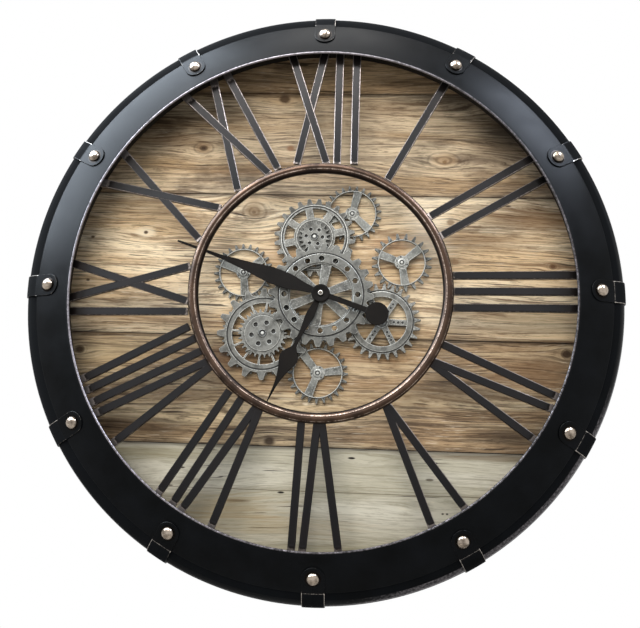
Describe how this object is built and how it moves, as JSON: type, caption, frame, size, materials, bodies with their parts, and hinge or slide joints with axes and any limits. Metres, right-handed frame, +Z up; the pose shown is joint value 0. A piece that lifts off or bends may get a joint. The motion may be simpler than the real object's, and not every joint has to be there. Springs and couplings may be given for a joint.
{
  "type": "gear wall clock",
  "caption": "Round wall clock with a black riveted case, board dial, open roman numerals and a turning gear train.",
  "frame": {"origin": "top of the keyhole slot in the hanger plate, on the wall plane", "axes": "+Z up, the clock faces -Y, +X to the viewer's right"},
  "size_m": [0.6026, 0.0801, 0.6026],
  "materials": {
    "case_paint": "satin black",
    "strap_steel": "satin black, worn edges",
    "numeral_steel": "black, worn edges",
    "ring_bronze": "dark bronze, satin",
    "gear_pewter": "distressed pewter",
    "hand_black": "matt black",
    "bright_steel": "bright",
    "black_plastic": "matt",
    "grey_plastic": "matt",
    "zinc_plate": "zinc plated",
    "wood_1": "weathered board",
    "wood_2": "weathered board",
    "wood_3": "weathered board",
    "wood_4": "weathered board",
    "wood_5": "weathered board"
  },
  "bodies": {
    "clock_case": {"bezel": "case_paint", "board_1": "wood_1", "board_2": "wood_2", "board_3": "wood_3", "board_4": "wood_4", "board_5": "wood_5", "gear_motor_box": "black_plastic", "hanger_plate": "zinc_plate", "inner_ring": "ring_bronze", "movement": "black_plastic", "numeral_01_a": "numeral_steel", "numeral_02_a": "numeral_steel", "numeral_02_b": "numeral_steel", "numeral_03_a": "numeral_steel", "numeral_03_b": "numeral_steel", "numeral_03_c": "numeral_steel", "numeral_04_a": "numeral_steel", "numeral_04_b": "numeral_steel", "numeral_05_a": "numeral_steel", "numeral_06_a": "numeral_steel", "numeral_06_b": "numeral_steel", "numeral_07_a": "numeral_steel", "numeral_07_b": "numeral_steel", "numeral_07_c": "numeral_steel", "numeral_08_a": "numeral_steel", "numeral_08_b": "numeral_steel", "numeral_08_c": "numeral_steel", "numeral_08_d": "numeral_steel", "numeral_09_a": "numeral_steel", "numeral_09_b": "numeral_steel", "numeral_10_a": "numeral_steel", "numeral_11_a": "numeral_steel", "numeral_11_b": "numeral_steel", "numeral_12_a": "numeral_steel", "numeral_12_b": "numeral_steel", "numeral_12_c": "numeral_steel", "strap_01": "strap_steel", "strap_02": "strap_steel", "strap_03": "strap_steel", "strap_04": "strap_steel", "strap_05": "strap_steel", "strap_06": "strap_steel", "strap_07": "strap_steel", "strap_08": "strap_steel", "strap_09": "strap_steel", "strap_10": "strap_steel", "strap_11": "strap_steel", "strap_12": "strap_steel"},
    "centre_gear": {"centre_gear": "gear_pewter"},
    "left_gear": {"left_gear": "gear_pewter"},
    "upper_gear": {"upper_gear": "gear_pewter"},
    "right_gear": {"right_gear": "gear_pewter"},
    "top_small_gear": {"top_small_gear": "gear_pewter"},
    "left_small_gear": {"left_small_gear": "gear_pewter"},
    "low_small_gear": {"low_small_gear": "gear_pewter"},
    "right_small_gear": {"right_small_gear": "gear_pewter"},
    "minute_hand": {"minute_hand": "hand_black", "hand_nut": "bright_steel"},
    "hour_hand": {"hour_hand": "hand_black"},
    "setting_knob": {"setting_knob": "grey_plastic"}
  },
  "joints": [
    {"name": "centre_gear_turn", "type": "hinge", "parent": "clock_case", "child": "centre_gear", "pos_m": [0, 0, -0.232], "axis": [0, -1, 0], "continuous": true},
    {"name": "left_gear_turn", "type": "hinge", "parent": "clock_case", "child": "left_gear", "pos_m": [-0.05944, 0, -0.27263], "axis": [0, -1, 0], "continuous": true},
    {"name": "upper_gear_turn", "type": "hinge", "parent": "clock_case", "child": "upper_gear", "pos_m": [-0.00836, 0, -0.16936], "axis": [0, -1, 0], "continuous": true},
    {"name": "right_gear_turn", "type": "hinge", "parent": "clock_case", "child": "right_gear", "pos_m": [0.06269, 0, -0.25835], "axis": [0, -1, 0], "continuous": true},
    {"name": "top_small_gear_turn", "type": "hinge", "parent": "clock_case", "child": "top_small_gear", "pos_m": [0.03101, 0, -0.14189], "axis": [0, -1, 0], "continuous": true},
    {"name": "left_small_gear_turn", "type": "hinge", "parent": "clock_case", "child": "left_small_gear", "pos_m": [-0.08291, 0, -0.2071], "axis": [0, -1, 0], "continuous": true},
    {"name": "low_small_gear_turn", "type": "hinge", "parent": "clock_case", "child": "low_small_gear", "pos_m": [-0.00215, 0, -0.31215], "axis": [0, -1, 0], "continuous": true},
    {"name": "right_small_gear_turn", "type": "hinge", "parent": "clock_case", "child": "right_small_gear", "pos_m": [0.08323, 0, -0.19586], "axis": [0, -1, 0], "continuous": true},
    {"name": "minute_hand_turn", "type": "hinge", "parent": "clock_case", "child": "minute_hand", "pos_m": [0, 0, -0.232], "axis": [0, -1, 0], "continuous": true},
    {"name": "hour_hand_turn", "type": "hinge", "parent": "clock_case", "child": "hour_hand", "pos_m": [0, 0, -0.232], "axis": [0, -1, 0], "continuous": true},
    {"name": "setting_knob_turn", "type": "hinge", "parent": "clock_case", "child": "setting_knob", "pos_m": [0, 0, -0.232], "axis": [0, -1, 0], "continuous": true}
  ],
  "couplings": [
    {"joint": "centre_gear_turn", "follows": "left_gear_turn", "ratio": -0.5},
    {"joint": "upper_gear_turn", "follows": "left_gear_turn", "ratio": 1.5789},
    {"joint": "right_gear_turn", "follows": "left_gear_turn", "ratio": 1.2},
    {"joint": "top_small_gear_turn", "follows": "left_gear_turn", "ratio": -1.0526},
    {"joint": "left_small_gear_turn", "follows": "left_gear_turn", "ratio": -1.4167},
    {"joint": "low_small_gear_turn", "follows": "left_gear_turn", "ratio": -1.4167},
    {"joint": "right_small_gear_turn", "follows": "left_gear_turn", "ratio": -1.56},
    {"joint": "hour_hand_turn", "follows": "minute_hand_turn", "ratio": 0.083333},
    {"joint": "setting_knob_turn", "follows": "minute_hand_turn", "ratio": 1}
  ]
}
